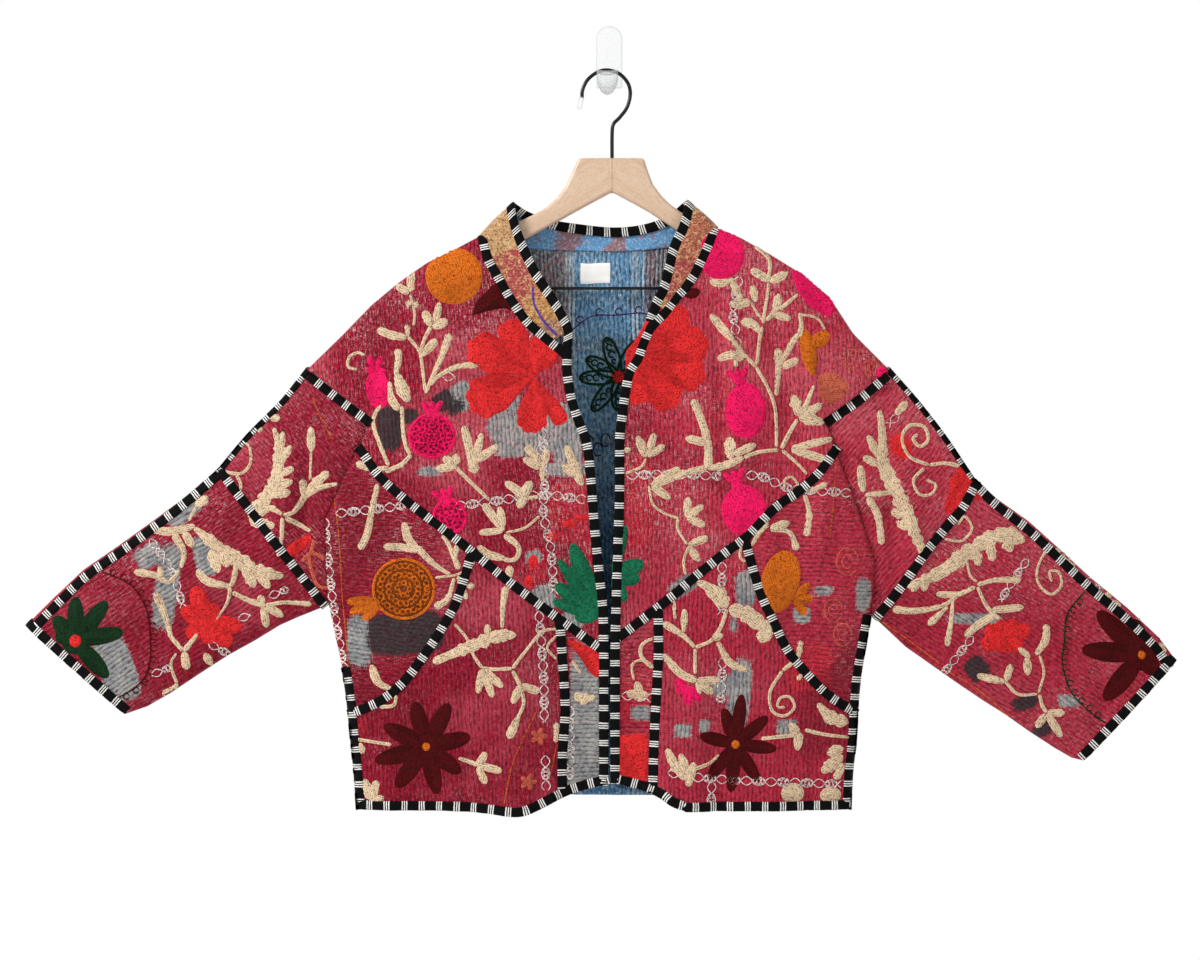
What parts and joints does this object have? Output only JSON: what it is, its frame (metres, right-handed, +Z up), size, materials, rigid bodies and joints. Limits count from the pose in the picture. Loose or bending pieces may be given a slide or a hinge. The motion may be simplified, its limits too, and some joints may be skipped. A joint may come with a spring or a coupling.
{
  "type": "kantha jacket on hanger",
  "caption": "Open-front quilted jacket with striped binding, patched and embroidered all over, on a wooden hanger that hangs from a clear wall hook.",
  "frame": {"origin": "middle of the wall hook's flat back, on the wall", "axes": "+Z up, +X to the wearer's left, +Y into the wall; the jacket's front faces -Y"},
  "size_m": [1.2348, 0.062, 0.8457],
  "materials": {
    "kantha_cloth": "berry red layered cotton with running stitch, faded weave patches, blue inside",
    "striped_binding": "black cotton tape with groups of fine white stripes",
    "collar_patchwork": "brown, orange and cream woven patchwork",
    "embroidery_thread": "thick chain stitch in cream, orange, pink, red, maroon and green cotton thread",
    "neck_label": "plain white woven label, bare",
    "beech": "clear varnished pale beech",
    "black_wire": "black lacquered steel wire",
    "clear_plastic": "clear moulded plastic"
  },
  "bodies": {
    "root": {"back": "kantha_cloth", "centre_front_binding_left": "striped_binding", "centre_front_binding_right": "striped_binding", "collar": "collar_patchwork", "collar_edge_binding": "striped_binding", "collar_seam_binding_left": "striped_binding", "collar_seam_binding_right": "striped_binding", "cuff_binding_back_left": "striped_binding", "cuff_binding_back_right": "striped_binding", "cuff_binding_front_left": "striped_binding", "cuff_binding_front_right": "striped_binding", "elbow_binding_back_left": "striped_binding", "elbow_binding_back_right": "striped_binding", "elbow_binding_front_left": "striped_binding", "elbow_binding_front_right": "striped_binding", "front_strip_left": "kantha_cloth", "front_strip_right": "kantha_cloth", "hanger_hook": "black_wire", "hanger_wood": "beech", "hem_binding_back": "striped_binding", "hem_binding_left": "striped_binding", "hem_binding_right": "striped_binding", "hook_tip": "clear_plastic", "lower_front_left": "kantha_cloth", "lower_front_right": "kantha_cloth", "lower_sleeve_back_left": "kantha_cloth", "lower_sleeve_back_right": "kantha_cloth", "lower_sleeve_front_left": "kantha_cloth", "lower_sleeve_front_right": "kantha_cloth", "lower_sleeve_top_binding_left": "striped_binding", "lower_sleeve_top_binding_right": "striped_binding", "neck_label": "neck_label", "pocket_binding_left": "striped_binding", "pocket_binding_right": "striped_binding", "shoulder_binding_left": "striped_binding", "shoulder_binding_right": "striped_binding", "side_binding_left": "striped_binding", "side_binding_right": "striped_binding", "side_panel_left": "kantha_cloth", "side_panel_right": "kantha_cloth", "strip_binding_left": "striped_binding", "strip_binding_right": "striped_binding", "trouser_bar": "black_wire", "upper_front_left": "kantha_cloth", "upper_front_right": "kantha_cloth", "upper_sleeve_back_left": "kantha_cloth", "upper_sleeve_back_right": "kantha_cloth", "upper_sleeve_front_left": "kantha_cloth", "upper_sleeve_front_right": "kantha_cloth", "upper_sleeve_top_binding_left": "striped_binding", "upper_sleeve_top_binding_right": "striped_binding", "wall_hook": "clear_plastic", "yoke_binding_left": "striped_binding", "yoke_binding_right": "striped_binding"}
  },
  "joints": []
}
